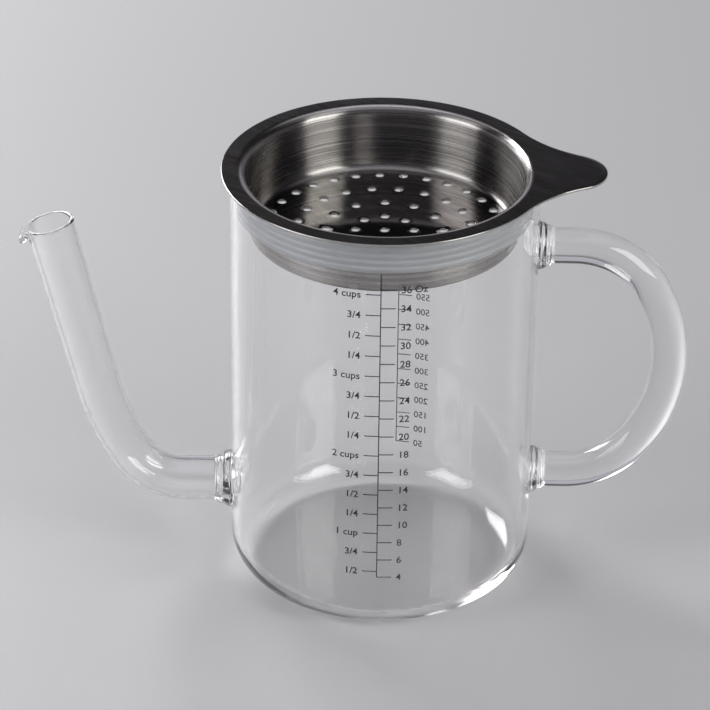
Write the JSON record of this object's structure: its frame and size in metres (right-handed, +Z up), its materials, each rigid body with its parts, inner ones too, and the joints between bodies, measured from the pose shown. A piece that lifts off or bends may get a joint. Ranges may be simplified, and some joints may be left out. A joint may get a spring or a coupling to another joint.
{
  "type": "gravy fat separator",
  "caption": "Glass jug with a low spout and a tube handle, and a lift-out steel strainer in its mouth, for pouring gravy from under its fat.",
  "frame": {"origin": "centre of the jug's flat underside, on the surface that it stands on", "axes": "+Z up along the jug's axis, +X out through the handle and the strainer's tab, the spout towards -X"},
  "size_m": [0.2317, 0.111, 0.1538],
  "materials": {
    "borosilicate_glass": "clear, fire-polished",
    "stainless_steel": "fine satin brushing",
    "silicone": "translucent, satin",
    "ceramic_ink": "screen-printed and fired on, satin"
  },
  "bodies": {
    "jug": {"jug_body": "borosilicate_glass", "spout_tube": "borosilicate_glass", "spout_weld": "borosilicate_glass", "handle_tube": "borosilicate_glass", "handle_upper_weld": "borosilicate_glass", "handle_lower_weld": "borosilicate_glass"},
    "seal": {"seal_ring": "silicone"},
    "strainer": {"strainer": "stainless_steel"}
  },
  "joints": [
    {"name": "strainer_lift", "type": "slide", "parent": "jug", "child": "seal", "axis": [0, 0, 1], "range_m": [0, 0.06]},
    {"name": "strainer_turn", "type": "hinge", "parent": "seal", "child": "strainer", "pos_m": [0, 0, 0.1538], "axis": [0, 0, 1], "continuous": true}
  ]
}
